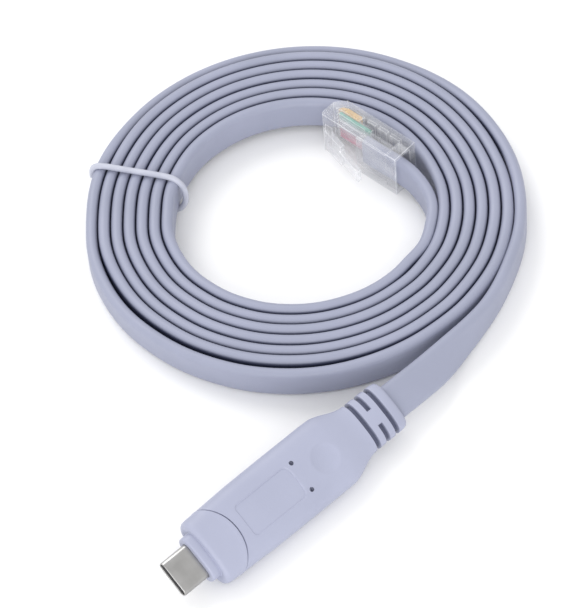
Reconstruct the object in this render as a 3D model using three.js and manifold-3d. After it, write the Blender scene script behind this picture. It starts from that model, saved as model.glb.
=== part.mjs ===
// A console cable: a USB-C head, a flat eight-wire cable wound on edge into a coil, and an RJ45 plug.
// Millimetres, +Z up. The head lies along Y with its connector towards -Y and its boot towards +Y.
// The origin is on the floor under the middle of the head.
import * as THREE from 'three';
import { mergeVertices } from 'three/addons/utils/BufferGeometryUtils.js';
import Module from 'manifold-3d';

const wasm = await Module();
wasm.setup();

// Clearances
const SEAT_GAP = 0.3; // between pieces that meet face to face
const FIT_GAP = 0.05; // round a piece that is pressed into another
const REST_GAP = 0.2; // between the tie and the coil that it holds
const OVERCUT = 0.5; // how far a cutter runs past the face that it opens

// USB-C connector
const SHELL_WIDTH = 8.25;
const SHELL_HEIGHT = 2.4;
const SHELL_WALL = 0.3;
const SHELL_REACH = 6.5; // out of the collar
const SHELL_INSET = 3.5; // into the nose
const LINER_WALL = 0.37; // round the slot that takes the tongue of a socket
const SLOT_DEPTH = 5.2;
const LINER_SETBACK = 0.35; // from the shell's rim

// Head: nose, body and boot share one outline
const HEAD_ROLL = THREE.MathUtils.degToRad(31); // the twisted cable turns the head onto one side
const COLLAR_WIDTH = 10.8;
const COLLAR_HEIGHT = 5.5;
const COLLAR_LENGTH = 2;
const NOSE_WIDTH = 15.6;
const BODY_WIDTH = 16.4;
const BODY_HEIGHT = 8.6;
const BOOT_WIDTH = 11.6;
const BOOT_HEIGHT = 5.8;
const SHOULDER_AT = 37; // all places along the head are counted from the collar's front face
const SHOULDER_LENGTH = 9;
const BOOT_LENGTH = 9;
const EDGE_ROUND = 0.8;
const SECTION_POWER = 2.6; // between an ellipse, 2, and a rectangle
const PARTING_AT = 9.8;
const PARTING_RADIUS = 11.5;

// Head details
const GROOVE_WIDTH = 1.1;
const GROOVE_DEPTH = 0.95;
const END_BAND = 2.5; // the plain ring at the boot's end
const SHORT_GROOVE_FROM = 2.1; // from the middle line
const LAMP_AT = 27.8;
const LAMP_SPACING = 6.8;
const LAMP_RADIUS = 0.42;
const LAMP_DEPTH = 2;
const DIMPLE_AT = 34.4;
const DIMPLE_RADIUS = 3.2;
const DIMPLE_DEPTH = 0.45;

// Flat cable and its coil
const CABLE_WIDTH = 8;
const CABLE_THICKNESS = 2.6;
const TURNS = 7;
const COIL_OUTER_RADIUS = 46.5;
const COIL_INNER_RADIUS = 28.6;
const COIL_CENTRE = new THREE.Vector2(-51.45, 54.5);
const SEAM_DEPTH = 1.1; // of the grooves between the turns
const SEAM_WIDTH = 1.5;

// Twist tie, a plastic covered wire
const TIE_DIAMETER = 1.6;
const TIE_ANGLE = THREE.MathUtils.degToRad(213.4); // round the coil
const TIE_SIDE_STEP = 1; // its two ends lie side by side
const TIE_INNER_BULGE = 2.8; // how far its middle line stands off the coil's two walls
const TIE_OUTER_BULGE = 1.2;

// RJ45 plug, lying on its narrow side
const PLUG_LENGTH = 21.5;
const PLUG_WIDTH = 11.68;
const PLUG_HEIGHT = 6.6;
const PLUG_ANGLE = THREE.MathUtils.degToRad(184.5);
const PLUG_TOUCH_ANGLE = THREE.MathUtils.degToRad(74.3); // where its rear corner meets the coil
const PLUG_FRONT_WALL = 1.9;
const PLUG_CHAMFER = 0.5;
const PLUG_NOSE_SLOPE = 2.4; // the bevel at the front of the contact side
const CONTACTS = 8;
const CONTACT_PITCH = 1.016;
const CONTACT_THICKNESS = 0.35;
const CONTACT_SLOT = 0.5;
const CONTACT_LENGTH = 6;
const CONTACT_SETBACK = 0.9; // from the plug's front face
const CONTACT_SINK = 0.35; // below the plug's contact side
const WIRES_FROM = 10.4; // where the cable's jacket ends, from the plug's rear face
const CABLE_OFFSET = 1.1; // of the jacket, towards the latch
const WIRE_OFFSET = 0.9; // of the wires, towards the contacts
const MOUTH_DEPTH = 3.2; // of the wider opening at the rear
const CLAMP_POCKETS = [[3.9, 6.6], [7.5, 10], [10.9, 13.1]]; // with crossbars between them
const CLAMP_DEPTH = 0.75;

// The plug's latch, a tongue that springs from the front edge and leans away from the body
const LATCH_THICKNESS = 1.2;
const LATCH_TIP_WIDTH = 3.3;
const LATCH_ROOT_WIDTH = 6.2;
const LATCH_ROOT_AT = 1.2; // from the plug's front face, as are the next two
const LATCH_BEND_AT = 8.3;
const LATCH_TIP_AT = 15.1;
const LATCH_ROOT_RISE = 0.35; // from the body, as are the next two
const LATCH_BEND_RISE = 1.9;
const LATCH_TIP_RISE = 4.1;

// Derived sizes
const half = (size) => size / 2;
const bootAt = SHOULDER_AT + SHOULDER_LENGTH;
const headEnd = bootAt + BOOT_LENGTH;
const middleOfHead = half(headEnd - SHELL_REACH);
const groovePitch = half(BOOT_LENGTH - END_BAND - GROOVE_WIDTH);
const plugMiddle = half(PLUG_WIDTH);
const wireDiameter = CONTACT_PITCH - 2 * FIT_GAP;
const wiresTo = PLUG_LENGTH - PLUG_FRONT_WALL;
// The middle of the plug's rear face, on the floor
const plugRear = new THREE.Vector2(COIL_INNER_RADIUS - SEAT_GAP, 0)
  .rotateAround(new THREE.Vector2(), PLUG_TOUCH_ANGLE)
  .add(COIL_CENTRE)
  .add(new THREE.Vector2(-Math.sin(PLUG_ANGLE), Math.cos(PLUG_ANGLE)).multiplyScalar(half(PLUG_HEIGHT)));

const material = (color, roughness, metalness = 0) =>
  new THREE.MeshStandardMaterial({ color, roughness, metalness });
const group = new THREE.Group();

function addMesh(parent, name, geometry, meshMaterial) {
  const mesh = new THREE.Mesh(geometry, meshMaterial);
  mesh.name = name;
  parent.add(mesh);
  return mesh;
}

// Solids

function solidOf(geometry) {
  const bare = geometry.clone();
  bare.deleteAttribute('normal');
  bare.deleteAttribute('uv');
  const merged = mergeVertices(bare, 1e-4);
  return new wasm.Manifold(
    new wasm.Mesh({
      numProp: 3,
      vertProperties: new Float32Array(merged.attributes.position.array),
      triVerts: new Uint32Array(merged.index.array),
    }),
  );
}

function geometryOf(solid) {
  const result = solid.getMesh();
  const geometry = new THREE.BufferGeometry();
  geometry.setAttribute('position', new THREE.BufferAttribute(result.vertProperties, 3));
  geometry.setIndex(new THREE.BufferAttribute(result.triVerts, 1));
  geometry.computeVertexNormals();
  return geometry;
}

function boxSolid(low, high) {
  const size = high.map((value, axis) => value - low[axis]);
  const box = new THREE.BoxGeometry(...size);
  box.translate(...high.map((value, axis) => half(value + low[axis])));
  return solidOf(box);
}

// A flat outline with round ends, width by height, in the XY plane
function stadium(width, height, sides = 8) {
  const radius = half(height);
  const reach = half(width) - radius;
  const shape = new THREE.Shape();
  for (const [side, from] of [[1, -Math.PI / 2], [-1, Math.PI / 2]]) {
    for (let i = 0; i <= sides; i += 1) {
      const angle = from + (Math.PI * i) / sides;
      const x = side * reach + radius * Math.cos(angle);
      const y = radius * Math.sin(angle);
      if (shape.curves.length === 0 && i === 0 && side === 1) shape.moveTo(x, y);
      else shape.lineTo(x, y);
    }
  }
  return shape;
}

function superellipse(power, sides = 28) {
  const points = [];
  for (let i = 0; i < sides; i += 1) {
    const angle = (2 * Math.PI * i) / sides;
    const c = Math.cos(angle);
    const s = Math.sin(angle);
    points.push(
      new THREE.Vector2(
        Math.sign(c) * Math.abs(c) ** (2 / power),
        Math.sign(s) * Math.abs(s) ** (2 / power),
      ),
    );
  }
  return new THREE.Shape(points);
}

// Runs a unit section along Y, through stations of [place, width, height]
function loft(stations, section = superellipse(SECTION_POWER)) {
  const steps = stations.length - 1;
  const geometry = new THREE.ExtrudeGeometry(section, { depth: steps, steps, bevelEnabled: false });
  const position = geometry.attributes.position;
  for (let i = 0; i < position.count; i += 1) {
    const [place, width, height] = stations[Math.round(position.getZ(i))];
    position.setXYZ(i, -position.getX(i) * half(width), place, position.getY(i) * half(height));
  }
  geometry.computeVertexNormals();
  return geometry;
}

// A prism of a flat outline along Y
function prismAlongY(shape, from, to) {
  const geometry = new THREE.ExtrudeGeometry(shape, { depth: to - from, bevelEnabled: false });
  geometry.rotateX(Math.PI / 2);
  geometry.translate(0, to, 0);
  return geometry;
}

function cylinderAlongZ(radius, from, to, sides) {
  const geometry = new THREE.CylinderGeometry(radius, radius, to - from, sides);
  geometry.rotateX(Math.PI / 2);
  geometry.translate(0, 0, half(from + to));
  return geometry;
}

// Head. Its own frame has its axis along Y, from the collar's front face, and its flat side up.

const headStations = [
  [COLLAR_LENGTH, NOSE_WIDTH - 3 * EDGE_ROUND, BODY_HEIGHT - 3 * EDGE_ROUND],
  [COLLAR_LENGTH + 0.3 * EDGE_ROUND, NOSE_WIDTH - EDGE_ROUND, BODY_HEIGHT - 1.6 * EDGE_ROUND],
  [COLLAR_LENGTH + EDGE_ROUND, NOSE_WIDTH, BODY_HEIGHT - 0.7 * EDGE_ROUND],
  [PARTING_AT - 3, NOSE_WIDTH + 0.1, BODY_HEIGHT - 0.3],
  [PARTING_AT + 5, half(NOSE_WIDTH + BODY_WIDTH) + 0.2, BODY_HEIGHT],
  [half(PARTING_AT + SHOULDER_AT), BODY_WIDTH, BODY_HEIGHT],
  [SHOULDER_AT - 5, BODY_WIDTH, BODY_HEIGHT],
  ...shoulderStations(6),
  [headEnd - 2 * EDGE_ROUND, BOOT_WIDTH - 0.1, BOOT_HEIGHT - 0.1],
  [headEnd - 0.6 * EDGE_ROUND, BOOT_WIDTH - 0.8 * EDGE_ROUND, BOOT_HEIGHT - 0.8 * EDGE_ROUND],
  [headEnd, BOOT_WIDTH - 2 * EDGE_ROUND, BOOT_HEIGHT - 2 * EDGE_ROUND],
];

// The smooth narrowing from the body to the boot
function shoulderStations(steps) {
  const stations = [];
  for (let i = 0; i <= steps; i += 1) {
    const share = i / steps;
    const place = THREE.MathUtils.lerp(SHOULDER_AT, bootAt, share);
    const ease = (1 - Math.cos(Math.PI * share)) / 2;
    stations.push([
      place,
      THREE.MathUtils.lerp(BODY_WIDTH, BOOT_WIDTH, ease),
      THREE.MathUtils.lerp(BODY_HEIGHT, BOOT_HEIGHT, ease),
    ]);
  }
  return stations;
}

const shellFit = (extra) => stadium(SHELL_WIDTH + 2 * extra, SHELL_HEIGHT + 2 * extra);

function buildShell() {
  const shape = shellFit(0);
  shape.holes.push(new THREE.Path(shellFit(-SHELL_WALL).getPoints()));
  return prismAlongY(shape, -SHELL_REACH, SHELL_INSET);
}

function buildLiner() {
  const front = LINER_SETBACK - SHELL_REACH;
  const block = solidOf(prismAlongY(shellFit(-SHELL_WALL - FIT_GAP), front, SHELL_INSET));
  const wall = SHELL_WALL + FIT_GAP + LINER_WALL;
  const slot = stadium(SHELL_WIDTH - 2 * wall, SHELL_HEIGHT - 2 * wall, 4);
  return geometryOf(block.subtract(solidOf(prismAlongY(slot, front - OVERCUT, front + SLOT_DEPTH))));
}

// The round parting line between nose and body is the same on both flat sides
function partingSolid(extra) {
  const tall = BODY_HEIGHT;
  const round = cylinderAlongZ(PARTING_RADIUS + extra, -tall, tall, 64);
  round.translate(0, PARTING_AT - PARTING_RADIUS, 0);
  return solidOf(round);
}

function buildNose() {
  const collar = loft([
    [0, COLLAR_WIDTH - EDGE_ROUND, COLLAR_HEIGHT - EDGE_ROUND],
    [half(EDGE_ROUND), COLLAR_WIDTH, COLLAR_HEIGHT],
    [COLLAR_LENGTH + OVERCUT, COLLAR_WIDTH, COLLAR_HEIGHT],
  ]);
  const pocket = prismAlongY(shellFit(FIT_GAP), -OVERCUT, SHELL_INSET + SEAT_GAP);
  const front = solidOf(loft(headStations)).intersect(partingSolid(0));
  return geometryOf(front.add(solidOf(collar)).subtract(solidOf(pocket)));
}

// A slot cut into the boot from outside, down to its core, over a range of widths
function grooveSolid(place, fromMiddle) {
  const core = loft([
    [place - GROOVE_WIDTH, BOOT_WIDTH - 2 * GROOVE_DEPTH, BOOT_HEIGHT - 2 * GROOVE_DEPTH],
    [place + GROOVE_WIDTH, BOOT_WIDTH - 2 * GROOVE_DEPTH, BOOT_HEIGHT - 2 * GROOVE_DEPTH],
  ]);
  const low = place - half(GROOVE_WIDTH);
  const high = place + half(GROOVE_WIDTH);
  const wide = BODY_WIDTH;
  const blocks = fromMiddle > 0
    ? boxSolid([fromMiddle, low, -wide], [wide, high, wide])
      .add(boxSolid([-wide, low, -wide], [-fromMiddle, high, wide]))
    : boxSolid([-wide, low, -wide], [wide, high, wide]);
  return blocks.subtract(solidOf(core));
}

function dimpleSolid() {
  const steps = 5;
  const ball = (DIMPLE_RADIUS ** 2 + DIMPLE_DEPTH ** 2) / (2 * DIMPLE_DEPTH);
  const profile = [];
  for (let i = 0; i <= steps; i += 1) {
    const radius = (DIMPLE_RADIUS * i) / steps;
    profile.push(new THREE.Vector2(radius, ball - Math.sqrt(ball ** 2 - radius ** 2) - DIMPLE_DEPTH));
  }
  profile.push(new THREE.Vector2(DIMPLE_RADIUS, OVERCUT), new THREE.Vector2(0, OVERCUT));
  const bowl = new THREE.LatheGeometry(profile, 24);
  bowl.rotateX(Math.PI / 2);
  bowl.translate(0, DIMPLE_AT, half(BODY_HEIGHT));
  return solidOf(bowl);
}

function buildBody() {
  let body = solidOf(loft(headStations)).subtract(partingSolid(SEAT_GAP));
  for (let i = 0; i < 3; i += 1) {
    const place = bootAt + half(GROOVE_WIDTH) + i * groovePitch;
    body = body.subtract(grooveSolid(place, i === 1 ? SHORT_GROOVE_FROM : 0));
  }
  for (const side of [-1, 1]) {
    const hole = cylinderAlongZ(LAMP_RADIUS, half(BODY_HEIGHT) - LAMP_DEPTH, BODY_HEIGHT, 12);
    hole.translate(half(side * LAMP_SPACING), LAMP_AT, 0);
    body = body.subtract(solidOf(hole));
  }
  return geometryOf(body.subtract(dimpleSolid()));
}

const bodyGeometry = buildBody();

// The head rests on the lowest point of its turned outline
function restHeight(geometry, roll) {
  const turned = geometry.clone().rotateY(roll);
  turned.computeBoundingBox();
  return -turned.boundingBox.min.z;
}

const headHeight = restHeight(bodyGeometry, HEAD_ROLL);
const head = new THREE.Group();
head.rotation.y = HEAD_ROLL;
head.position.set(0, -middleOfHead, headHeight);
group.add(head);
addMesh(head, 'usb_c_shell', buildShell(), material(0x9c9a98, 0.32, 1));
addMesh(head, 'usb_c_liner', buildLiner(), material(0x141416, 0.55));
addMesh(head, 'plug_nose', buildNose(), material(0xb4b9d2, 0.5));
addMesh(head, 'plug_body', bodyGeometry, material(0xb1b6cf, 0.5));

// Coil: one ring whose ends show the turns, with a notch where the turns arch over the tie and
// channels where the innermost and the outermost turn leave the others

function buildCoil() {
  const top = [];
  const turnWidth = (COIL_OUTER_RADIUS - COIL_INNER_RADIUS) / TURNS;
  for (let i = 0; i < TURNS; i += 1) {
    const inner = COIL_INNER_RADIUS + i * turnWidth;
    const rim = half(SEAM_WIDTH);
    if (i > 0) top.push([inner, SEAM_DEPTH]);
    top.push([inner + rim * (i > 0 ? 1 : 0.6), 0], [inner + turnWidth - rim * (i < TURNS - 1 ? 1 : 0.6), 0]);
  }
  const wall = half(SEAM_WIDTH);
  const outline = [
    [COIL_INNER_RADIUS, wall],
    ...top,
    [COIL_OUTER_RADIUS, wall],
    [COIL_OUTER_RADIUS, CABLE_WIDTH - wall],
    ...top.map(([radius, depth]) => [radius, CABLE_WIDTH - depth]).reverse(),
    [COIL_INNER_RADIUS, CABLE_WIDTH - wall],
    [COIL_INNER_RADIUS, wall],
  ].map(([radius, z]) => new THREE.Vector2(radius, z));
  const geometry = new THREE.LatheGeometry(outline, 48);
  geometry.rotateX(Math.PI / 2);
  const wide = TIE_SIDE_STEP + half(TIE_DIAMETER) + SEAT_GAP;
  const notch = boxSolid(
    [COIL_INNER_RADIUS - OVERCUT, -wide, -OVERCUT],
    [COIL_OUTER_RADIUS + OVERCUT, wide, TIE_DIAMETER + 2 * REST_GAP],
  );
  const ring = solidOf(geometry).subtract(notch.rotate(0, 0, THREE.MathUtils.radToDeg(TIE_ANGLE)));
  const upright = usbRoute.filter((station) => station[3] > 85);
  return geometryOf(
    ring.translate(COIL_CENTRE.x, COIL_CENTRE.y, 0)
      .subtract(leadChannel(plugRoute))
      .subtract(leadChannel(upright.reverse())),
  );
}

// Cable leads: the flat section along a route of [x, y, z, roll]. Roll 0 lies flat, 90 stands on edge.

function flatTube(route, steps, width = CABLE_WIDTH, thickness = CABLE_THICKNESS) {
  const section = stadium(width, thickness, 5);
  const geometry = new THREE.ExtrudeGeometry(section, { depth: steps, steps, bevelEnabled: false });
  const path = new THREE.CatmullRomCurve3(route.map(([x, y, z]) => new THREE.Vector3(x, y, z)));
  const rolls = new THREE.SplineCurve(route.map(([, , , roll], i) => new THREE.Vector2(i, roll)));
  const up = new THREE.Vector3(0, 0, 1);
  const position = geometry.attributes.position;
  const point = new THREE.Vector3();
  for (let i = 0; i < position.count; i += 1) {
    const share = position.getZ(i) / steps;
    const roll = THREE.MathUtils.degToRad(rolls.getPoint(share).y);
    const forward = path.getTangent(share);
    const side = new THREE.Vector3().crossVectors(forward, up).normalize();
    const normal = new THREE.Vector3().crossVectors(side, forward);
    const width = side.clone().multiplyScalar(Math.cos(roll)).addScaledVector(normal, -Math.sin(roll));
    const face = new THREE.Vector3().crossVectors(width, forward);
    path.getPoint(share, point);
    point.addScaledVector(width, -position.getX(i)).addScaledVector(face, position.getY(i));
    position.setXYZ(i, point.x, point.y, point.z);
  }
  geometry.computeVertexNormals();
  return geometry;
}

const cableMaterial = () => material(0xb2b6ce, 0.55);
const headRollDegrees = THREE.MathUtils.radToDeg(HEAD_ROLL);
const headEndY = headEnd - middleOfHead;
const usbRoute = [
  [0, headEndY + SEAT_GAP, headHeight, headRollDegrees],
  [-0.1, 36.5, 5.8, 33],
  [-0.5, 44, 5.2, 43],
  [-1.7, 52.5, 4.6, 69],
  [-4, 63.8, 4.1, 89],
  [-8.6, 75, 4.05, 90],
  [-14.2, 84, 4.05, 90],
  [-16.6, 86.7, 4.05, 90],
];
addMesh(group, 'cable_usb_lead', flatTube(usbRoute, 14), cableMaterial());

// A place in the plug, seen from the middle of its rear face, forwards, to the latch side and up
function plugPlace(forward, toLatch, z) {
  const c = Math.cos(PLUG_ANGLE);
  const s = Math.sin(PLUG_ANGLE);
  return [plugRear.x + forward * c - toLatch * s, plugRear.y + forward * s + toLatch * c, z];
}

const plugRoute = [
  [-24.7, 65.2, 4.1, 90],
  [-27.3, 69.9, 4.2, 90],
  [-31.2, 74.4, 4.5, 90],
  [-35.6, 76.6, 5, 90],
  [...plugPlace(-1.5, CABLE_OFFSET, plugMiddle - 0.1), 90],
  [...plugPlace(WIRES_FROM / 2, CABLE_OFFSET, plugMiddle), 90],
  [...plugPlace(WIRES_FROM, CABLE_OFFSET, plugMiddle), 90],
];
addMesh(group, 'cable_rj45_lead', flatTube(plugRoute, 14), cableMaterial());

// The room that a lead needs in the coil, cut through its whole height. The route runs away from the
// coil, and the channel starts a gap before it.
function leadChannel(route) {
  const [first, second] = route.map(([x, y]) => new THREE.Vector2(x, y));
  const before = first.clone().sub(second).setLength(SEAT_GAP).add(first);
  const longer = [[before.x, before.y, ...route[0].slice(2)], ...route];
  return solidOf(flatTube(longer, 20, 2 * CABLE_WIDTH, CABLE_THICKNESS + 2 * SEAT_GAP));
}

addMesh(group, 'cable_coil', buildCoil(), material(0xb3b7cf, 0.55));

// Twist tie: once round the bundle, in the upright plane at TIE_ANGLE, its ends side by side

function buildTie() {
  const radius = half(TIE_DIAMETER);
  const under = radius + half(REST_GAP);
  const over = CABLE_WIDTH + REST_GAP + radius;
  const inner = COIL_INNER_RADIUS;
  const outer = COIL_OUTER_RADIUS;
  const middle = half(inner + outer);
  const step = TIE_SIDE_STEP;
  const height = (share) => THREE.MathUtils.lerp(under, over, share);
  const inside = (share) => inner - share * TIE_INNER_BULGE;
  const outside = (share) => outer + share * TIE_OUTER_BULGE;
  // Distance from the coil's centre, height and step along the coil
  const stations = [
    [outside(1), height(0.62), step],
    [outside(1), height(0.3), step],
    [outside(0.75), height(0.06), 0.9 * step],
    [outer - 1, under, 0.7 * step],
    [middle, under, 0.6 * step],
    [inner + 1.5, under, 0.5 * step],
    [inside(0.4), height(0.07), 0.5 * step],
    [inside(0.85), height(0.27), 0.3 * step],
    [inside(1), height(0.57), 0],
    [inside(0.8), height(0.86), -0.5 * step],
    [inside(0.1), over, -0.9 * step],
    [middle, over, -1.4 * step],
    [outer - 0.6, over, -1.3 * step],
    [outside(0.75), height(0.92), -1.3 * step],
    [outside(1), height(0.72), -1.3 * step],
    [outside(1), height(0.5), -1.2 * step],
  ];
  const radial = new THREE.Vector2(Math.cos(TIE_ANGLE), Math.sin(TIE_ANGLE));
  const points = stations.map(
    ([r, z, across]) =>
      new THREE.Vector3(
        COIL_CENTRE.x + r * radial.x - across * radial.y,
        COIL_CENTRE.y + r * radial.y + across * radial.x,
        z,
      ),
  );
  const section = new THREE.Shape(new THREE.EllipseCurve(0, 0, radius, radius).getPoints(8).slice(0, 8));
  const extrudePath = new THREE.CatmullRomCurve3(points, false, 'centripetal');
  return new THREE.ExtrudeGeometry(section, { steps: 48, extrudePath, bevelEnabled: false });
}

addMesh(group, 'twist_tie', buildTie(), material(0xd3d5e2, 0.5));

// RJ45 plug. Its own frame has X forwards, Y to the latch side and Z across its width.

const plug = new THREE.Group();
plug.position.set(plugRear.x, plugRear.y, 0);
plug.rotation.z = PLUG_ANGLE;
group.add(plug);
const latchSide = half(PLUG_HEIGHT);
const contactSide = -half(PLUG_HEIGHT);
const contactFront = PLUG_LENGTH - CONTACT_SETBACK;
const contactRear = contactFront - CONTACT_LENGTH;
const contactFoot = -WIRE_OFFSET - half(wireDiameter) - 2 * FIT_GAP;
const conductorHeight = (i) => plugMiddle + (i - half(CONTACTS - 1)) * CONTACT_PITCH;

// A prism of a flat outline in the XY plane, up from one height to another
function prismAlongZ(points, from, to) {
  const shape = new THREE.Shape(points.map(([x, y]) => new THREE.Vector2(x, y)));
  const geometry = new THREE.ExtrudeGeometry(shape, { depth: to - from, bevelEnabled: false });
  geometry.translate(0, 0, from);
  return solidOf(geometry);
}

function latchSolid() {
  const root = PLUG_LENGTH - LATCH_ROOT_AT;
  const bend = PLUG_LENGTH - LATCH_BEND_AT;
  const tip = PLUG_LENGTH - LATCH_TIP_AT;
  const low = (rise) => latchSide + rise;
  const high = (rise) => latchSide + rise + LATCH_THICKNESS;
  const across = (width) => [plugMiddle - half(width), plugMiddle + half(width)];
  const wide = [
    [bend, low(LATCH_BEND_RISE)],
    [bend, high(LATCH_BEND_RISE)],
    [root - LATCH_THICKNESS, high(LATCH_ROOT_RISE)],
    [root, latchSide],
    [root, latchSide - OVERCUT],
    [root - 1.5 * LATCH_THICKNESS, latchSide - OVERCUT],
    [root - 1.7 * LATCH_THICKNESS, low(LATCH_ROOT_RISE)],
  ];
  const narrow = [
    [tip, low(LATCH_TIP_RISE)],
    [tip, high(LATCH_TIP_RISE)],
    [bend + OVERCUT, high(LATCH_BEND_RISE)],
    [bend + OVERCUT, low(LATCH_BEND_RISE)],
  ];
  return prismAlongZ(wide, ...across(LATCH_ROOT_WIDTH))
    .add(prismAlongZ(narrow, ...across(LATCH_TIP_WIDTH)));
}

function buildPlugBody() {
  const outline = [
    [0, contactSide],
    [PLUG_LENGTH - 0.9 * PLUG_NOSE_SLOPE, contactSide],
    [PLUG_LENGTH - 0.2 * PLUG_NOSE_SLOPE, contactSide + 0.7 * PLUG_NOSE_SLOPE],
    [PLUG_LENGTH, contactSide + PLUG_NOSE_SLOPE],
    [PLUG_LENGTH, latchSide - PLUG_CHAMFER],
    [PLUG_LENGTH - PLUG_CHAMFER, latchSide],
    [0, latchSide],
  ];
  let body = prismAlongZ(outline, 0, PLUG_WIDTH).add(latchSolid());
  const span = (size) => [plugMiddle - half(size), plugMiddle + half(size)];
  const cut = (x, y, z) => {
    body = body.subtract(boxSolid([x[0], y[0], z[0]], [x[1], y[1], z[1]]));
  };
  const jacket = half(CABLE_THICKNESS) + SEAT_GAP;
  const jacketSpan = [CABLE_OFFSET - jacket, CABLE_OFFSET + jacket];
  cut([-OVERCUT, WIRES_FROM + SEAT_GAP], jacketSpan, span(CABLE_WIDTH + 2 * SEAT_GAP));
  cut([-OVERCUT, MOUTH_DEPTH], [jacketSpan[0] - 1.1, jacketSpan[1] + 0.2], span(CABLE_WIDTH + 1.9));
  const wireSpan = half(wireDiameter) + 0.15;
  const wireRow = CONTACTS * CONTACT_PITCH;
  cut([WIRES_FROM, wiresTo + 0.2], [-WIRE_OFFSET - wireSpan, -WIRE_OFFSET + wireSpan], span(wireRow));
  cut([WIRES_FROM, WIRES_FROM + 1.5], [-WIRE_OFFSET, jacketSpan[1]], span(wireRow));
  for (const pocket of CLAMP_POCKETS) {
    cut(pocket, [contactSide - OVERCUT, contactSide + CLAMP_DEPTH], span(CABLE_WIDTH));
  }
  for (let i = 0; i < CONTACTS; i += 1) {
    const z = conductorHeight(i);
    const slot = half(CONTACT_SLOT);
    cut([contactRear - 0.1, PLUG_LENGTH + 1], [contactSide - 1, contactFoot + FIT_GAP], [z - slot, z + slot]);
  }
  return geometryOf(body);
}

addMesh(plug, 'rj45_body', buildPlugBody(), material(0xe4e6ee, 0.15));

// Each contact is a gold blade with a rounded front corner
function buildContact(z) {
  const top = contactSide + CONTACT_SINK;
  const blade = [
    [contactRear, contactFoot],
    [contactRear, top + 0.4],
    [contactRear + 0.4, top],
    [contactFront - 1.8, top],
    [contactFront - 0.5, top + 0.5],
    [contactFront, contactFoot],
  ];
  return geometryOf(prismAlongZ(blade, z - half(CONTACT_THICKNESS), z + half(CONTACT_THICKNESS)));
}

function buildWire(z) {
  const wire = new THREE.CylinderGeometry(
    half(wireDiameter), half(wireDiameter), wiresTo - WIRES_FROM - SEAT_GAP, 8,
  );
  wire.rotateZ(Math.PI / 2);
  wire.translate(half(wiresTo + WIRES_FROM + SEAT_GAP), -WIRE_OFFSET, z);
  return wire;
}

const wireColours = [0xc8607e, 0xcf7f94, 0xb0667c, 0xb9b4be, 0x9a9ba6, 0xd9dbe0, 0x9fb9b4, 0x4e9f8c];
for (let i = 0; i < CONTACTS; i += 1) {
  const z = conductorHeight(i);
  addMesh(plug, `rj45_contact_${i + 1}`, buildContact(z), material(0xc9a45a, 0.3, 1));
  addMesh(plug, `rj45_wire_${i + 1}`, buildWire(z), material(wireColours[i], 0.5));
}

export default group;
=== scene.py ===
import math

import bmesh
import bpy
import numpy as np
from mathutils import Matrix, Vector


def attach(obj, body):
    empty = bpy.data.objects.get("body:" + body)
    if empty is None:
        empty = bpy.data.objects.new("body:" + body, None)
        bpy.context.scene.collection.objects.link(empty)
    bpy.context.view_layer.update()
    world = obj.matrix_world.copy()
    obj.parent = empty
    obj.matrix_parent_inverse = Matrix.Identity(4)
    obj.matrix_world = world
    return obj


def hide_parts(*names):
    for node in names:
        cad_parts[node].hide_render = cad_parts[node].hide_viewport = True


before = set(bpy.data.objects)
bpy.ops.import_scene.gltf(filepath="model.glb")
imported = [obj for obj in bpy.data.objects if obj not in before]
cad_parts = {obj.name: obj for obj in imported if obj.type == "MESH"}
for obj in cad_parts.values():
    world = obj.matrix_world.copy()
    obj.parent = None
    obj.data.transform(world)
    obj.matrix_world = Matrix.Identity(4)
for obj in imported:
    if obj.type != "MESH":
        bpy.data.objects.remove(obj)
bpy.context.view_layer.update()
scene = bpy.context.scene
MM = 0.001

# Camera, fitted to the photo

AZIMUTH_DEGREES = 50.62
AZIMUTH = math.radians(AZIMUTH_DEGREES)
ELEVATION = math.radians(51.177)
ROLL = math.radians(-5.382)
CAMERA_PLACE = (0.35344, -0.28557, 0.63133)
CAMERA_LENS = 223.7


def make_camera():
    back = Vector((
        math.cos(ELEVATION) * math.sin(AZIMUTH),
        -math.cos(ELEVATION) * math.cos(AZIMUTH),
        math.sin(ELEVATION),
    ))
    level = Vector((math.cos(AZIMUTH), math.sin(AZIMUTH), 0))
    upright = back.cross(level)
    right = level * math.cos(ROLL) + upright * math.sin(ROLL)
    up = upright * math.cos(ROLL) - level * math.sin(ROLL)
    data = bpy.data.cameras.new("camera")
    data.lens = CAMERA_LENS
    data.sensor_width = 36
    data.clip_start = 0.05
    data.clip_end = 20
    camera = bpy.data.objects.new("camera", data)
    turn = Matrix((right, up, back)).transposed().to_4x4()
    camera.matrix_world = Matrix.Translation(CAMERA_PLACE) @ turn
    scene.collection.objects.link(camera)
    scene.camera = camera


make_camera()

# Mesh tools


def smoothstep(value, low=0.0, high=1.0):
    """From 0 at low to 1 at high, level at both ends."""
    share = np.clip((np.asarray(value, float) - low) / (high - low), 0, 1)
    return share * share * (3 - 2 * share)


def new_piece(name, points, faces, sharp=40, **attributes):
    """A smooth piece on the part's body; each attribute has one value for every point."""
    mesh = bpy.data.meshes.new(name)
    mesh.from_pydata([tuple(p) for p in points], [], faces)
    mesh.validate()
    for key, values in attributes.items():
        layer = mesh.attributes.new(key, "FLOAT", "POINT")
        layer.data.foreach_set("value", np.asarray(values, np.float32))
    mesh.shade_smooth()
    mesh.set_sharp_from_angle(angle=math.radians(sharp))
    piece = bpy.data.objects.new(name, mesh)
    scene.collection.objects.link(piece)
    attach(piece, "root")
    return piece


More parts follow.
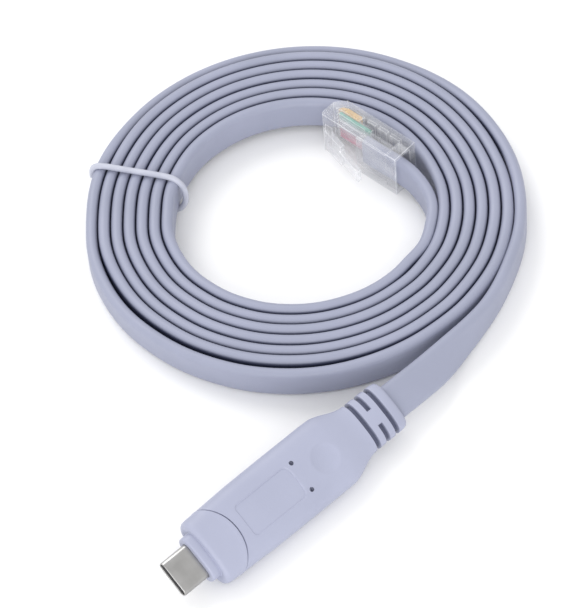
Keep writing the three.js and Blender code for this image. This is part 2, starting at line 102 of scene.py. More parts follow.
def loft(rings, close_ends=True):
    """Points and faces of a row of closed rings, each with as many points, and a fan at both ends."""
    rings = np.asarray(rings, float)
    rows, count = rings.shape[:2]
    points = list(rings.reshape(-1, 3))
    faces = []
    for r in range(rows - 1):
        for k in range(count):
            n = (k + 1) % count
            faces.append((r * count + k, r * count + n, (r + 1) * count + n, (r + 1) * count + k))
    if close_ends:
        for first, ring, turn in ((0, rings[0], 1), ((rows - 1) * count, rings[-1], -1)):
            middle = len(points)
            points.append(ring.mean(axis=0))
            for k in range(count):
                n = (k + 1) % count
                faces.append((first + n, first + k, middle)[::turn])
    return points, faces


def outward(points, faces):
    """The same faces, turned over if the closed form is inside out."""
    p = np.asarray(points)
    volume = 0.0
    for f in faces:
        for i in range(1, len(f) - 1):
            volume += np.dot(p[f[0]], np.cross(p[f[i]], p[f[i + 1]]))
    return faces if volume > 0 else [tuple(reversed(f)) for f in faces]


def spline(values, places, at):
    """A natural cubic spline through the rows of values, read at other places."""
    x = np.asarray(places, float)
    y = np.asarray(values, float)
    h = np.diff(x)
    n = len(x)
    system = np.eye(n)
    right = np.zeros_like(y)
    for i in range(1, n - 1):
        system[i, i - 1:i + 2] = h[i - 1], 2 * (h[i - 1] + h[i]), h[i]
        right[i] = 3 * ((y[i + 1] - y[i]) / h[i] - (y[i] - y[i - 1]) / h[i - 1])
    c = np.linalg.solve(system, right)
    i = np.clip(np.searchsorted(x, at, side="right") - 1, 0, n - 2)
    s = (np.asarray(at) - x[i])[:, None]
    h = h[i][:, None]
    slope = (y[i + 1] - y[i]) / h - h * (2 * c[i] + c[i + 1]) / 3
    return y[i] + slope * s + c[i] * s ** 2 + (c[i + 1] - c[i]) / (3 * h) * s ** 3


def sampled(points, step):
    """Even steps along a smooth line through points, whose first three values are a place."""
    points = np.asarray(points, float)
    chord = np.concatenate([[0], np.cumsum(np.linalg.norm(np.diff(points[:, :3], axis=0), axis=1))])
    fine = np.linspace(0, chord[-1], int(chord[-1] / step * 6))
    line = spline(points, chord, fine)
    length = np.concatenate([[0], np.cumsum(np.linalg.norm(np.diff(line[:, :3], axis=0), axis=1))])
    even = np.linspace(0, length[-1], int(length[-1] / step) + 1)
    where = np.interp(even, length, fine)
    return spline(points, chord, where), length[-1]


def stadium(width, height, count=9):
    """Half a turn at each end of a flat section, as (across, up), counter-clockwise."""
    radius = min(width, height) / 2
    reach = max(width, height) / 2 - radius
    turn = np.linspace(-math.pi / 2, math.pi / 2, count)
    right = np.stack([reach + radius * np.cos(turn), radius * np.sin(turn)], 1)
    return np.concatenate([right, [[0, radius]], -right, [[0, -radius]]])


# Cable: one flat cord from the head's boot, round the coil and into the clear plug.
# Routes are (x, y, z, roll) in metres and degrees: roll 0 lies flat, 90 stands on edge.

CABLE_WIDTH = 0.008
CABLE_THICKNESS = 0.0026
COIL_CENTRE = np.array((-0.05145, 0.0545))
TIE_DEGREES = 213.4
TIE_ANGLE = math.radians(TIE_DEGREES)
PLUG_ANGLE = math.radians(184.5)
PLUG_REAR = np.array((-0.043533, 0.078454))
PLUG_MIDDLE = 0.00584
HEAD_HEIGHT = 0.006058
HEAD_ROLL_DEGREES = 31
HEAD_ROLL = math.radians(HEAD_ROLL_DEGREES)
CABLE_OFFSET = 0.0011  # of the jacket in the plug, towards the latch


def plug_place(forward, to_latch, z):
    c, s = math.cos(PLUG_ANGLE), math.sin(PLUG_ANGLE)
    x = PLUG_REAR[0] + forward * c - to_latch * s
    y = PLUG_REAR[1] + forward * s + to_latch * c
    return (x, y, z)


USB_ROUTE = [
    (0, 0.03085, HEAD_HEIGHT, HEAD_ROLL_DEGREES), (-0.0001, 0.0365, 0.0058, 33), (-0.0005, 0.044, 0.0052, 43),
    (-0.0017, 0.0525, 0.0046, 69), (-0.004, 0.0638, 0.0041, 89), (-0.0086, 0.075, 0.00405, 90),
    (-0.0142, 0.084, 0.00405, 90), (-0.0166, 0.0867, 0.00405, 90),
]
PLUG_ROUTE = [
    (-0.0247, 0.0652, 0.0041, 90), (-0.0273, 0.0699, 0.0042, 90), (-0.0312, 0.0744, 0.0045, 90),
    (-0.0356, 0.0766, 0.005, 90),
    (*plug_place(-0.0015, CABLE_OFFSET, PLUG_MIDDLE - 0.0001), 90),
    (*plug_place(0.0052, CABLE_OFFSET, PLUG_MIDDLE), 90),
    (*plug_place(0.0104, CABLE_OFFSET, PLUG_MIDDLE), 90),
]
OUTER_TURN = 0.04713  # radius of the cable's middle where the coil starts
PITCH = 0.00275  # from one turn to the next
TURN_HEIGHT = 0.00401  # of the cable's middle, on edge on the floor
COIL_FROM, COIL_TO = 8, 2480  # degrees wound

# How the turns stray from a true spiral, in degrees round the coil and millimetres outwards
STRAY = [
    (0, 0.15), (17, -0.15), (45, 0.02), (75, 0.06), (105, 0.0), (135, -0.06), (158, -0.35),
    (176, -0.38), (193, 0.3), (210, 0.4), (228, 0.15), (246, -0.03), (266, -0.2), (284, -0.28),
    (303, -0.2), (319, 0.1), (335, 0.36), (350, 0.25), (360, 0.15),
]
TIE_TURN = TIE_DEGREES - AZIMUTH_DEGREES  # where the tie is, in the same degrees
TIE_ARCH = 0.0014  # how far the turns rise over the tie
FAR_SIDE_RIDE = 0.0013  # how far they rise above the outermost turn on the photo's left


def stray(turned):
    """The straying in metres, eased between the entries of the list."""
    at = turned % 360
    for (a, low), (b, high) in zip(STRAY, STRAY[1:]):
        if a <= at <= b:
            share = (1 - math.cos(math.pi * (at - a) / (b - a))) / 2
            return (low + (high - low) * share) * MM
    return 0.0


def coil_point(turned):
    """A point of the coil, by the degrees wound since the cable came in at the photo's right side."""
    angle = math.radians(turned) + AZIMUTH
    radius = OUTER_TURN - PITCH * turned / 360
    radius += stray(turned) * smoothstep(turned, 10, 40) * (1 - smoothstep(turned, COIL_TO - 40, COIL_TO))
    radius += 0.0003 * (1 - smoothstep(turned, -8, 26))
    free = smoothstep(turned, 185, 215) * (1 - smoothstep(turned, 262, 310))
    radius += 0.0003 * free
    # Every turn arches over the tie, and the inner ones ride above the outermost before it.
    # The radius makes up for the rise, so the turns keep their distance in the photo's view.
    at = turned % 360
    ride = FAR_SIDE_RIDE * smoothstep(at, 25, 60) * (1 - smoothstep(at, 175, 215))
    radius -= 0.8 * ride * math.sin(math.radians(at))
    lift = ride if turned > 360 else 0
    lift += (TIE_ARCH - lift) * (1 - smoothstep(abs(at - TIE_TURN), 1, 24))
    lift += 0.0001 * (1 + math.sin(turned / 91 + 0.7))
    x, y = radius * math.cos(angle), radius * math.sin(angle)
    return (COIL_CENTRE[0] + x, COIL_CENTRE[1] + y, TURN_HEIGHT + lift, 90 + 6 * free)


coil_points = [coil_point(v) for v in np.linspace(COIL_FROM, COIL_TO, 413)]
line, cord_length = sampled(USB_ROUTE + coil_points + PLUG_ROUTE, 0.0015)
centres = line[:, :3]


def cable_section():
    """The flat section with rounded edges; each point also says how deep between two turns it lies, which
    sets how much shade is painted there.
    """
    section = stadium(CABLE_WIDTH, CABLE_THICKNESS, 11)
    depth = CABLE_WIDTH / 2 - np.abs(section[:, 0])
    return section, smoothstep(depth, 0.0003, 0.0011)


def make_cable():
    section, hidden = cable_section()
    forward = np.gradient(centres, axis=0)
    forward /= np.linalg.norm(forward, axis=1)[:, None]
    side = np.cross(forward, (0, 0, 1))
    side /= np.linalg.norm(side, axis=1)[:, None]
    normal = np.cross(side, forward)
    roll = np.radians(line[:, 3])[:, None]
    width = side * np.cos(roll) - normal * np.sin(roll)
    face = np.cross(width, forward)
    rings = (
        centres[:, None, :]
        - width[:, None, :] * section[None, :, :1]
        + face[:, None, :] * section[None, :, 1:]
    )
    offset = centres[:, :2] - COIL_CENTRE
    swept = np.degrees(np.unwrap(np.arctan2(offset[:, 1], offset[:, 0])))
    start = int(np.argmin(np.linalg.norm(centres - np.array(coil_points[0][:3]), axis=1)))
    turned = swept - swept[start] + COIL_FROM
    outward_dir = offset / np.linalg.norm(offset, axis=1)[:, None]
    outside = np.sign((face[:, :2] * outward_dir).sum(axis=1))
    faces_out = (section[:, 1][None, :] * outside[:, None]) > 0
    # Painted shade on the jacket faces that lie deep between turns; the outer face of the outermost turn and
    # the inner face of the innermost get none
    outer = smoothstep(turned, 352, 372)
    inner = smoothstep(turned, 5, 15) * (1 - smoothstep(turned, 2125, 2140))
    seam = hidden[None, :] * np.where(faces_out, outer[:, None], inner[:, None])
    points, faces = loft(rings)
    seam = np.concatenate([seam.reshape(-1), [0, 0]])
    cable = new_piece("cable", points, outward(points, faces), sharp=50, seam=seam)
    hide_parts("cable_coil", "cable_usb_lead", "cable_rj45_lead")
    return cable


cable = make_cable()

# Materials


def shader(name, color, roughness, metallic=0.0):
    material = bpy.data.materials.new(name)
    material.use_nodes = True
    tree = material.node_tree
    surface = tree.nodes["Principled BSDF"]
    surface.inputs["Base Color"].default_value = (*color, 1)
    surface.inputs["Roughness"].default_value = roughness
    surface.inputs["Metallic"].default_value = metallic
    return material, tree, surface


def noise(tree, scale, detail=2.0, stretch=(1, 1, 1)):
    place = tree.nodes.new("ShaderNodeTexCoord")
    mapping = tree.nodes.new("ShaderNodeMapping")
    mapping.inputs["Scale"].default_value = stretch
    texture = tree.nodes.new("ShaderNodeTexNoise")
    texture.inputs["Scale"].default_value = scale
    texture.inputs["Detail"].default_value = detail
    tree.links.new(place.outputs["Object"], mapping.inputs["Vector"])
    tree.links.new(mapping.outputs["Vector"], texture.inputs["Vector"])
    return texture.outputs["Fac"]


def between(tree, factor, low, high, start=0.3, end=0.7):
    """A colour that runs from low to high as the factor runs from start to end."""
    ramp = tree.nodes.new("ShaderNodeValToRGB")
    ramp.color_ramp.elements[0].position = start
    ramp.color_ramp.elements[0].color = (*low, 1)
    ramp.color_ramp.elements[1].position = end
    ramp.color_ramp.elements[1].color = (*high, 1)
    tree.links.new(factor, ramp.inputs["Fac"])
    return ramp.outputs["Color"]


def vary(tree, factor, low, high):
    """A value that runs from low to high as the factor runs from 0.3 to 0.7."""
    spread = tree.nodes.new("ShaderNodeMapRange")
    spread.inputs["From Min"].default_value = 0.3
    spread.inputs["From Max"].default_value = 0.7
    spread.inputs["To Min"].default_value = low
    spread.inputs["To Max"].default_value = high
    tree.links.new(factor, spread.inputs["Value"])
    return spread.outputs["Result"]


def multiplied(tree, color, other, factor=1.0):
    mix = tree.nodes.new("ShaderNodeMix")
    mix.data_type = "RGBA"
    mix.blend_type = "MULTIPLY"
    mix.inputs["Factor"].default_value = factor
    tree.links.new(color, mix.inputs["A"])
    tree.links.new(other, mix.inputs["B"])
    return mix.outputs["Result"]


def colored(tree, surface, factor, low, high):
    tree.links.new(between(tree, factor, low, high), surface.inputs["Base Color"])


def roughened(tree, surface, factor, low, high):
    tree.links.new(vary(tree, factor, low, high), surface.inputs["Roughness"])


def bumped(tree, surface, height, strength, distance):
    bump = tree.nodes.new("ShaderNodeBump")
    bump.inputs["Strength"].default_value = strength
    bump.inputs["Distance"].default_value = distance
    tree.links.new(height, bump.inputs["Height"])
    tree.links.new(bump.outputs["Normal"], surface.inputs["Normal"])


# Colour of the painted shade deep between the cable's turns and in the head's slots
SEAM_SHADE = (0.14, 0.155, 0.23)


def soft_plastic(name, low, high, roughness, grain=2600, seams=False):
    """Moulded soft PVC: slow shifts of tone, a fine satin grain, and, where asked, a bluish painted shade
    deep between turns and in slots.
    """
    material, tree, surface = shader(name, high, roughness)
    surface.inputs["Specular IOR Level"].default_value = 0.42
    color = between(tree, noise(tree, 70, 3), low, high)
    if seams:
        # Painted shade, multiplied into the colour by the attribute
        attribute = tree.nodes.new("ShaderNodeAttribute")
        attribute.attribute_name = "seam"
        shade = between(tree, attribute.outputs["Fac"], (1, 1, 1), SEAM_SHADE, 0, 1)
        color = multiplied(tree, color, shade)
    tree.links.new(color, surface.inputs["Base Color"])
    roughened(tree, surface, noise(tree, 240), roughness - 0.04, roughness + 0.05)
    bumped(tree, surface, noise(tree, grain, 2), 0.16, 0.00012)
    return material


JACKET_LOW, JACKET_HIGH = (0.284, 0.301, 0.393), (0.31, 0.326, 0.426)
HEAD_LOW, HEAD_HIGH = (0.34, 0.357, 0.466), (0.365, 0.383, 0.497)
HEAD_ROUGHNESS = 0.44
HEAD_GRAIN = 2100
jacket = soft_plastic("cable_jacket", JACKET_LOW, JACKET_HIGH, 0.46, seams=True)
moulding = soft_plastic("head_plastic", HEAD_LOW, HEAD_HIGH, HEAD_ROUGHNESS, HEAD_GRAIN)
cable.data.materials.append(jacket)

# Head. Its own frame, in millimetres: across, along from the collar's front face, and up.

HEAD_MIDDLE = 24.25
POWER = 2.6  # of the section, between a circle's 2 and a rectangle's many
PARTING_AT = 9.8
PARTING_RADIUS = 11.5
PARTING_GAP = 0.1  # on each side of the parting line
HEAD_END = 55.0
SHELL_WIDTH = 8.25
SHELL_HEIGHT = 2.4


def place_head(points):
    p = np.asarray(points, float)
    c, s = math.cos(HEAD_ROLL), math.sin(HEAD_ROLL)
    x = p[..., 0] * c + p[..., 2] * s
    z = -p[..., 0] * s + p[..., 2] * c
    return np.stack([x * MM, (p[..., 1] - HEAD_MIDDLE) * MM, z * MM + HEAD_HEIGHT], -1)


def unit_section():
    """Places round the head's section, close together across the middle of the top."""
    middle = 0.56
    fine = np.linspace(middle, -middle, 75)
    top_side = [math.cos(v) ** (2 / POWER) for v in np.linspace(0, 0.98, 16)]
    top_side = [v for v in top_side if v > middle + 0.015]
    top = top_side + list(fine) + [-v for v in reversed(top_side)]
    under = [math.cos(v) for v in np.linspace(math.pi, 2 * math.pi, 38)][1:-1]
    under = [math.copysign(abs(v) ** (2 / POWER), v) for v in under]
    across = np.array(top + under)
    side = np.array([1.0] * len(top) + [-1.0] * len(under))
    up = side * (1 - np.clip(np.abs(across), 0, 1) ** POWER) ** (1 / POWER)
    return across, up, side


U, V, SIDE = unit_section()


def head_profile():
    """Half the head's width and height at places along it."""
    rows = [
        (2.0, 6.75, 3.25), (2.12, 7.1, 3.62), (2.35, 7.42, 3.88), (2.8, 7.68, 4.06),
        (3.6, 7.78, 4.12), (6.8, 7.85, 4.18), (10.5, 8.0, 4.24), (14.8, 8.15, 4.3),
        (23.4, 8.2, 4.3), (32.0, 8.2, 4.3), (36.0, 8.19, 4.3),
    ]
    for share in np.linspace(0.12, 1, 9):
        ease = (1 - math.cos(math.pi * share)) / 2
        rows.append((37 + 9 * share, 8.2 - 2.4 * ease, 4.3 - 1.4 * ease))
    rows += [
        (50.0, 5.78, 2.9), (53.3, 5.75, 2.86), (54.1, 5.66, 2.77), (54.6, 5.5, 2.6),
        (54.9, 5.22, 2.34), (HEAD_END, 4.9, 2.05),
    ]
    return np.array(rows)


PROFILE = head_profile()


def head_ring(t, inset=0.0):
    """One ring of the head's skin at the places t, one for each point round it, set in by inset."""
    t = np.broadcast_to(np.asarray(t, float), U.shape)
    w = np.interp(t, PROFILE[:, 0], PROFILE[:, 1])
    h = np.interp(t, PROFILE[:, 0], PROFILE[:, 2])
    a, z = w * U, h * V
    nx = np.sign(U) * np.abs(U) ** (POWER - 1) / w
    nz = np.sign(V) * np.abs(V) ** (POWER - 1) / h
    size = np.hypot(nx, nz)
    return np.stack([a - inset * nx / size, t, z - inset * nz / size], 1)


def parting(u):
    """Where the curved parting line lies, by the place across."""
    return PARTING_AT - PARTING_RADIUS + np.sqrt(PARTING_RADIUS ** 2 - (8.0 * u) ** 2)


def ring_at_place(points, t):
    """A ring of (across, up) points at one place along the head."""
    return np.stack([points[:, 0], np.full(len(points), t), points[:, 1]], 1)


def band(t, middle, width, edge=0.1):
    return smoothstep((width / 2 + edge / 2 - np.abs(t - middle)) / edge)


def panel_depth(a, t):
    """The bare sunken panel, with rounded corners and its rear edge bowed towards the boot."""
    middle, half_long, half_wide, corner = 19.1, 7.15, 3.9, 1.1
    bow = np.where(t > middle, 0.45 * (1 - (a / half_wide) ** 2), 0)
    x = np.abs(a) - half_wide + corner
    y = np.abs(t - bow - middle) - half_long + corner
    outside = np.hypot(np.maximum(x, 0), np.maximum(y, 0)) + np.minimum(np.maximum(x, y), 0) - corner
    return 0.17 * smoothstep(-outside / 0.2) + 0.07 * np.exp(-(((outside + 0.1) / 0.13) ** 2))


GROOVES = (46.55, 49.25, 51.95)  # middles of the boot's slots
GROOVE_WIDTH = 1.1
GROOVE_DEPTH = 0.95
BRIDGE = (1.75, 1.95)  # where the middle slot ends beside the boot's middle
HOLES = ((-3.4, 27.8), (3.4, 27.8))
DIMPLE = (0.15, 34.4)
DIMPLE_RADIUS = 3.3


def carved(t):
    """How deep the body is cut at each point of a ring."""
    w = np.interp(t, PROFILE[:, 0], PROFILE[:, 1])
    a = w * U
    depth = GROOVE_DEPTH * (band(t, GROOVES[0], GROOVE_WIDTH) + band(t, GROOVES[2], GROOVE_WIDTH))
    depth = depth + GROOVE_DEPTH * band(t, GROOVES[1], GROOVE_WIDTH) * smoothstep(np.abs(a), *BRIDGE)
    top = SIDE > 0
    depth = depth + np.where(top, panel_depth(a, t), 0)
    ball = 1 - (np.hypot(a - DIMPLE[0], t - DIMPLE[1]) / DIMPLE_RADIUS) ** 2
    depth = depth + np.where(top, 0.55 * np.maximum(ball, 0) ** 0.9, 0)
    for x, y in HOLES:
        hole = smoothstep(0.46 - np.hypot(a - x, t - y), 0, 0.1)
        depth = depth + np.where(top, 1.1 * hole, 0)
    return depth


def fine_rows():
    """Places along the body, close together where it is carved."""
    rows = list(np.arange(11.7, 26.8, 0.125)) + list(np.arange(26.9, 28.8, 0.09))
    rows += list(np.arange(29.0, 31.0, 0.5)) + list(np.arange(31.0, 37.9, 0.28))
    rows += list(np.arange(38.2, 45.8, 0.45))
    for middle in GROOVES:
        rows += [middle + s * d for s in (-1, 1) for d in (0.72, 0.62, 0.59, 0.55, 0.51, 0.48, 0.3)]
        rows.append(middle)
    rows += [50.3, 50.8, 52.9, 53.3, 53.7, 54.1, 54.4, 54.6, 54.8, 54.9, 54.97, HEAD_END]
    return sorted(rows)


def make_body():
    """The rear moulding, from the parting line to the boot; its attribute of painted shade darkens the slots.
    """
    start = parting(U) + PARTING_GAP
    rings = [
        head_ring(start + 0.1, 1.6), head_ring(start, 1.2), head_ring(start, 0.14),
        head_ring(start + 0.05, 0.04),
    ]
    for share in (0.03, 0.08, 0.16, 0.28, 0.42, 0.58, 0.74, 0.88):
        t = start + (11.6 - start) * share
        rings.append(head_ring(t, carved(t)))
    for t in fine_rows():
        ring_at = np.full(U.shape, t)
        rings.append(head_ring(ring_at, carved(ring_at)))
    hole = stadium_ring(CABLE_WIDTH / MM + 0.3, CABLE_THICKNESS / MM + 0.3)
    rings += [ring_at_place(hole, HEAD_END), ring_at_place(hole, HEAD_END - 0.4)]
    points, faces = loft(place_head(rings))
    across, along = np.array(rings)[:, :, 0], np.array(rings)[:, :, 1]
    # Painted shade inside the boot's slots, left out where the middle slot stops beside the boot's middle
    slots = sum(band(along, middle, GROOVE_WIDTH, 0.12) for middle in GROOVES)
    beside = smoothstep(np.abs(across), *BRIDGE)
    slots = slots * np.where(np.abs(along - GROOVES[1]) < 1, beside, 1)
    seam = np.concatenate([0.8 * slots.reshape(-1), [0, 0]])
    body = new_piece("head_body", points, outward(points, faces), sharp=35, seam=seam)
    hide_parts("plug_body")
    return body


def stadium_ring(width, height):
    """A flat round-ended outline with as many points, in the same directions, as the head's rings."""
    radius = height / 2
    reach = width / 2 - radius
    a = U * width / 2
    over = np.maximum(np.abs(a) - reach, 0)
    z = np.sign(V) * np.sqrt(np.maximum(radius ** 2 - over ** 2, 0))
    return np.stack([a, z], 1)


def flat_ring(width, height, t, power):
    """A ring across the head, width and height each half of its own, boxier with the power."""
    up = SIDE * (1 - np.clip(np.abs(U), 0, 1) ** power) ** (1 / power)
    return np.stack([width * U, np.full(len(U), t), height * up], 1)


def make_nose():
    """The front moulding, with a raised rim at the parting line and the collar round the shell."""
    end = parting(U) - PARTING_GAP
    rim = 0.95
    steps = (
        (0.1, 1.6), (0, 1.2), (0, 0.06), (0.06, -0.05), (0.3, -0.07), (0.72, -0.07), (0.84, -0.02),
        (rim, 0),
    )
    rings = [head_ring(end - back, inset) for back, inset in steps]
    for share in (0.2, 0.4, 0.6, 0.8, 0.93):
        rings.append(head_ring(end - rim - (end - rim - 3.4) * share))
    for t in (3.4, 3.1, 2.8, 2.6, 2.45, 2.35, 2.22, 2.12, 2.05, 2.0):
        rings.append(head_ring(t))
    rings += [
        flat_ring(6.0, 2.95, 2.06, 2.9), flat_ring(5.62, 2.87, 2.1, 3.0),
        flat_ring(5.42, 2.75, 1.98, 3.0), flat_ring(5.4, 2.74, 0.6, 3.0),
        flat_ring(5.36, 2.7, 0.3, 3.0), flat_ring(5.25, 2.6, 0.12, 3.0),
        flat_ring(5.08, 2.44, 0.02, 3.0), flat_ring(4.95, 2.3, 0.0, 3.0),
    ]
    for t, extra in ((0.0, 0.12), (0.12, 0.03), (1.2, 0.03)):
        hole = stadium_ring(SHELL_WIDTH + 2 * extra, SHELL_HEIGHT + 2 * extra)
        rings.append(ring_at_place(hole, t))
    points, faces = loft(place_head(rings))
    nose = new_piece("head_nose", points, outward(points, faces), sharp=35)
    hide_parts("plug_nose")
    return nose


def with_painted_hole_shade(material):
    """Painted shade inside the two indicator holes, found by their places on the head's flat side."""
    tree = material.node_tree
    surface = tree.nodes["Principled BSDF"]
    color = surface.inputs["Base Color"].links[0].from_socket
    place = tree.nodes.new("ShaderNodeTexCoord").outputs["Object"]
    for a, t in HOLES:
        middle = place_head([(a, t, 4.0)])[0]
        distance = tree.nodes.new("ShaderNodeVectorMath")
        distance.operation = "DISTANCE"
        distance.inputs[1].default_value = tuple(middle)
        tree.links.new(place, distance.inputs[0])
        scaled = tree.nodes.new("ShaderNodeMath")
        scaled.operation = "MULTIPLY"
        scaled.inputs[1].default_value = 1 / MM
        tree.links.new(distance.outputs["Value"], scaled.inputs[0])
        # Painted shade, near black at each hole's middle
        hole_shade = between(tree, scaled.outputs["Value"], (0.015, 0.015, 0.035), (1, 1, 1), 0.42, 0.55)
        color = multiplied(tree, color, hole_shade)
    tree.links.new(color, surface.inputs["Base Color"])


body = make_body()
nose = make_nose()
body_material = soft_plastic("head_body", HEAD_LOW, HEAD_HIGH, HEAD_ROUGHNESS, HEAD_GRAIN, seams=True)
with_painted_hole_shade(body_material)
body.data.materials.append(body_material)
nose.data.materials.append(moulding)

# USB-C shell and the black housing in it


def outline_rings(stations):
    """Rings of a round-ended outline, from (place along, inset) pairs."""
    rings = []
    for t, inset in stations:
        section = stadium(SHELL_WIDTH - 2 * inset, SHELL_HEIGHT - 2 * inset, 17)
        rings.append(ring_at_place(section, t))
    return rings


def make_shell():
    stations = [
        (3.5, 0.3), (-6.3, 0.3), (-6.42, 0.28), (-6.48, 0.22), (-6.5, 0.15), (-6.48, 0.08),
        (-6.4, 0.03), (-6.25, 0.0), (0.0, 0.0), (3.5, 0.0), (3.5, 0.3),
    ]
    points, faces = loft(place_head(outline_rings(stations)), close_ends=False)
    shell = new_piece("usb_shell", points, outward(points, faces), sharp=45)
    bm = bmesh.new()
    bm.from_mesh(shell.data)
    bmesh.ops.remove_doubles(bm, verts=bm.verts, dist=1e-7)
    bm.to_mesh(shell.data)
    bm.free()
    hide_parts("usb_c_shell")
    material, tree, surface = shader("shell_metal", (0.4, 0.395, 0.39), 0.34, 1.0)
    grain = noise(tree, 900, 4, (1, 0.12, 1))
    roughened(tree, surface, grain, 0.28, 0.4)
    colored(tree, surface, noise(tree, 300, 2), (0.36, 0.355, 0.35), (0.43, 0.425, 0.42))
    bumped(tree, surface, grain, 0.08, 0.00004)
    shell.data.materials.append(material)


def make_liner():
    outside, inside = 0.36, 0.73
    stations = [
        (3.4, outside), (-6.02, outside), (-6.12, outside + 0.04), (-6.15, outside + 0.1),
        (-6.15, inside - 0.06), (-6.08, inside), (-0.95, inside),
    ]
    points, faces = loft(place_head(outline_rings(stations)))
    liner = new_piece("usb_liner", points, outward(points, faces), sharp=40)
    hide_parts("usb_c_liner")
    material, tree, surface = shader("liner_plastic", (0.02, 0.02, 0.024), 0.5)
    colored(tree, surface, noise(tree, 500), (0.014, 0.014, 0.018), (0.03, 0.03, 0.034))
    bumped(tree, surface, noise(tree, 3000), 0.1, 0.00005)
    liner.data.materials.append(material)


make_shell()
make_liner()

# Twist tie, once round the bundle


def tube(points, radius, step, count=14):
    """A round line through points."""
    path, _ = sampled(points, step)
    forward = np.gradient(path, axis=0)
    forward /= np.linalg.norm(forward, axis=1)[:, None]
    up = np.cross(forward[0], (0.31, 0.77, 0.55))
    rings = []
    for place, ahead in zip(path, forward):
        up = up - ahead * np.dot(up, ahead)
        up /= np.linalg.norm(up)
        side = np.cross(ahead, up)
        turn = np.linspace(0, 2 * math.pi, count, endpoint=False)
        rings.append(place + radius * (np.outer(np.cos(turn), side) + np.outer(np.sin(turn), up)))
    return loft(rings)


TIE_RADIUS = 0.68
# Millimetres out from the coil's middle, up, and along the turns: under the bundle and back over it
TIE_STATIONS = [
    (47.0, 5.6, -2.7), (47.1, 3.4, -2.7), (46.8, 1.6, -2.4), (45.4, 0.82, -1.8), (43.0, 0.75, -1.4),
    (37.55, 0.75, -0.4), (32.2, 0.75, 0.4), (29.9, 0.82, 0.6), (27.6, 1.4, 0.6), (26.4, 2.8, 0.3),
    (25.9, 5.2, 0.1), (26.4, 7.8, -0.3), (28.4, 9.75, -0.6), (31.0, 10.15, -0.75),
    (37.55, 10.2, -0.95), (42.0, 10.2, -1.1), (44.9, 10.15, -1.1), (46.4, 9.7, -1.0),
    (47.05, 8.3, -1.0), (47.1, 6.6, -0.9),
]


def tie_place(radius, z, along):
    c, s = math.cos(TIE_ANGLE), math.sin(TIE_ANGLE)
    return (
        COIL_CENTRE[0] + (radius * c - along * s) * MM,
        COIL_CENTRE[1] + (radius * s + along * c) * MM,
        z * MM,
    )


def make_tie():
    points, faces = tube([tie_place(*s) for s in TIE_STATIONS], TIE_RADIUS * MM, 0.0006)
    tie = new_piece("tie", points, outward(points, faces), sharp=60)
    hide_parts("twist_tie")
    material, tree, surface = shader("tie_plastic", (0.46, 0.475, 0.56), 0.38)
    colored(tree, surface, noise(tree, 260, 3), (0.42, 0.435, 0.52), (0.5, 0.515, 0.6))
    bumped(tree, surface, noise(tree, 1500), 0.12, 0.0001)
    tie.data.materials.append(material)
    return tie


tie = make_tie()

# Clear plug. Its own frame, in millimetres: forwards, to the latch side, and up.

WIRE_COLORS = [
    ("wire_red", (0.58, 0.12, 0.21)), ("wire_pink", (0.62, 0.21, 0.3)),
    ("wire_plum", (0.43, 0.13, 0.2)), ("wire_mauve", (0.48, 0.46, 0.52)),
    ("wire_grey", (0.32, 0.33, 0.38)), ("wire_white", (0.69, 0.71, 0.74)),
    ("wire_pale_green", (0.35, 0.48, 0.46)), ("wire_teal", (0.08, 0.35, 0.26)),
]
CONTACT_PITCH = 1.016


def place_plug(points):
    return [plug_place(x * MM, y * MM, z * MM) for x, y, z in points]


def clear_material(name, color, face_on, edge_on):
    """Clear plastic, in faint streaks: it covers face_on of what is behind it, and edge_on at a slant."""
    material, tree, surface = shader(name, color, 0.06)
    surface.inputs["IOR"].default_value = 1.55
    facing = tree.nodes.new("ShaderNodeLayerWeight")
    facing.inputs["Blend"].default_value = 0.3
    clear = tree.nodes.new("ShaderNodeMapRange")
    clear.inputs["To Min"].default_value = face_on
    clear.inputs["To Max"].default_value = edge_on
    tree.links.new(facing.outputs["Facing"], clear.inputs["Value"])
    streaks = tree.nodes.new("ShaderNodeMath")
    streaks.operation = "ADD"
    streaks.use_clamp = True
    tree.links.new(clear.outputs["Result"], streaks.inputs[0])
    tree.links.new(vary(tree, noise(tree, 420, 3, (0.3, 1, 1)), -0.05, 0.16), streaks.inputs[1])
    tree.links.new(streaks.outputs["Value"], surface.inputs["Alpha"])
    roughened(tree, surface, noise(tree, 400), 0.04, 0.1)
    bumped(tree, surface, noise(tree, 350, 2), 0.1, 0.0001)
    return material


def make_plug_body():
    """The CAD plug's own faces, joined where they lie in one plane, with rounded edges in a whiter, less
    clear material: a painted highlight.
    """
    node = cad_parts["rj45_body"]
    source = bpy.data.objects[node] if isinstance(node, str) else node
    bm = bmesh.new()
    bm.from_mesh(source.data)
    bm.transform(source.matrix_world)
    bmesh.ops.remove_doubles(bm, verts=bm.verts, dist=2e-6)
    bmesh.ops.dissolve_limit(bm, angle_limit=math.radians(1), verts=bm.verts, edges=bm.edges)
    sharp = [e for e in bm.edges if len(e.link_faces) == 2 and e.calc_face_angle(0) > math.radians(25)]
    for face in bm.faces:
        face.material_index = 0
    bmesh.ops.bevel(
        bm, geom=sharp, offset=0.00013, offset_type="OFFSET", segments=2, profile=0.5,
        affect="EDGES", clamp_overlap=True, material=1,
    )
    bmesh.ops.triangulate(bm, faces=[f for f in bm.faces if len(f.verts) > 4])
    mesh = bpy.data.meshes.new("rj45_clear")
    bm.to_mesh(mesh)
    bm.free()
    mesh.shade_smooth()
    mesh.set_sharp_from_angle(angle=math.radians(30))
    piece = bpy.data.objects.new("rj45_clear", mesh)
    scene.collection.objects.link(piece)
    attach(piece, "root")
    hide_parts("rj45_body")
    mesh.materials.append(clear_material("clear_plastic", (0.72, 0.73, 0.77), 0.07, 0.38))
    # Painted highlight: the bevelled edges get a whiter, nearly opaque copy of the clear plastic
    mesh.materials.append(clear_material("clear_edge_highlight", (0.92, 0.93, 0.96), 0.72, 0.95))
    return piece


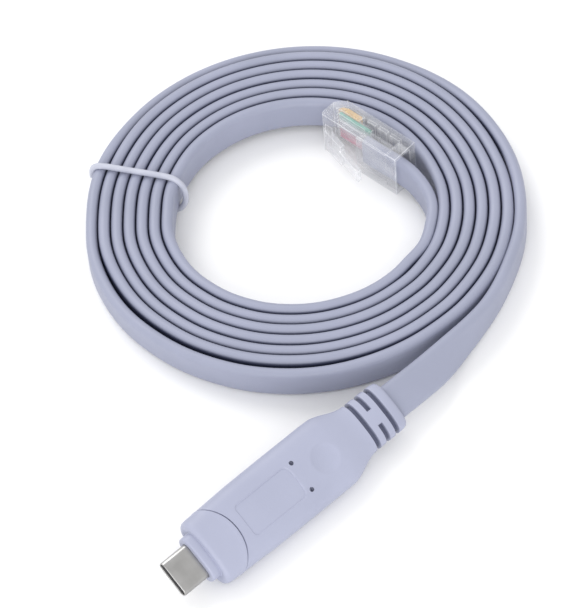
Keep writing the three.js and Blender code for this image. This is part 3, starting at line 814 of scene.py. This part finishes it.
def make_contact(index, z, material):
    """One blade, by its outline and 0.35 mm thick."""
    blade = [(14.6, -1.458), (14.6, -2.55), (15.0, -2.95), (18.8, -2.95), (20.1, -2.45), (20.6, -1.458)]
    half = 0.175
    low = place_plug([(x, y, z - half) for x, y in blade])
    high = place_plug([(x, y, z + half) for x, y in blade])
    count = len(blade)
    faces = [tuple(range(count)), tuple(reversed(range(count, 2 * count)))]
    faces += [(k, (k + 1) % count, count + (k + 1) % count, count + k) for k in range(count)]
    points = low + high
    contact = new_piece(f"contact_{index}", points, outward(points, faces), sharp=30)
    bm = bmesh.new()
    bm.from_mesh(contact.data)
    bmesh.ops.bevel(bm, geom=bm.edges[:], offset=0.00005, segments=2, affect="EDGES", clamp_overlap=True)
    bmesh.ops.recalc_face_normals(bm, faces=bm.faces)
    bm.to_mesh(contact.data)
    bm.free()
    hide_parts(f"rj45_contact_{index}")
    contact.data.materials.append(material)
    return contact


def make_wire(index, z, slot_name, color):
    turn = np.linspace(0, 2 * math.pi, 16, endpoint=False)
    rings = []
    for x, radius in ((10.65, 0.35), (10.7, 0.44), (19.5, 0.44), (19.6, 0.35)):
        ring = [(x, -0.9 + radius * math.cos(v), z + radius * math.sin(v)) for v in turn]
        rings.append(place_plug(ring))
    points, faces = loft(rings)
    wire = new_piece(f"wire_{index}", points, outward(points, faces), sharp=50)
    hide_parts(f"rj45_wire_{index}")
    material, tree, surface = shader(slot_name, color, 0.4)
    low = tuple(v * 0.88 for v in color)
    high = tuple(min(1, v * 1.1) for v in color)
    colored(tree, surface, noise(tree, 600), low, high)
    wire.data.materials.append(material)
    return wire


def make_plug():
    gold, tree, surface = shader("contact_gold", (0.72, 0.47, 0.16), 0.25, 1.0)
    roughened(tree, surface, noise(tree, 1200), 0.2, 0.34)
    colored(tree, surface, noise(tree, 800), (0.66, 0.42, 0.13), (0.78, 0.53, 0.2))
    pieces = [make_plug_body()]
    for i in range(8):
        z = PLUG_MIDDLE / MM + (i - 3.5) * CONTACT_PITCH
        pieces.append(make_contact(i + 1, z, gold))
        pieces.append(make_wire(i + 1, z, *WIRE_COLORS[i]))
    return pieces


plug = make_plug()

# Floor and light


def make_floor():
    half = 2.5
    mesh = bpy.data.meshes.new("floor")
    corners = [(-half, -half, 0), (half, -half, 0), (half, half, 0), (-half, half, 0)]
    mesh.from_pydata(corners, [], [(0, 1, 2, 3)])
    floor = bpy.data.objects.new("floor", mesh)
    scene.collection.objects.link(floor)
    material, tree, surface = shader("floor", (0.9, 0.9, 0.905), 0.7)
    colored(tree, surface, noise(tree, 8), (0.895, 0.895, 0.9), (0.91, 0.91, 0.913))
    mesh.materials.append(material)


def make_light(name, place, target, size, power):
    data = bpy.data.lights.new(name, "AREA")
    data.shape = "DISK"
    data.size = size
    data.energy = power
    light = bpy.data.objects.new(name, data)
    light.location = place
    aim = Vector(target) - Vector(place)
    light.rotation_euler = aim.to_track_quat("-Z", "Y").to_euler()
    scene.collection.objects.link(light)


def make_world():
    world = bpy.data.worlds.new("studio")
    world.use_nodes = True
    background = world.node_tree.nodes["Background"]
    background.inputs["Color"].default_value = (1, 1, 1, 1)
    background.inputs["Strength"].default_value = 0.98
    scene.world = world


make_floor()
make_world()
LIT = (-0.04, 0.03, 0)
make_light("key", (-0.8, 0.1, 0.8), LIT, 0.7, 4.5)
make_light("fill", (0.7, -0.7, 0.45), LIT, 0.9, 6)
scene.view_settings.view_transform = "Standard"
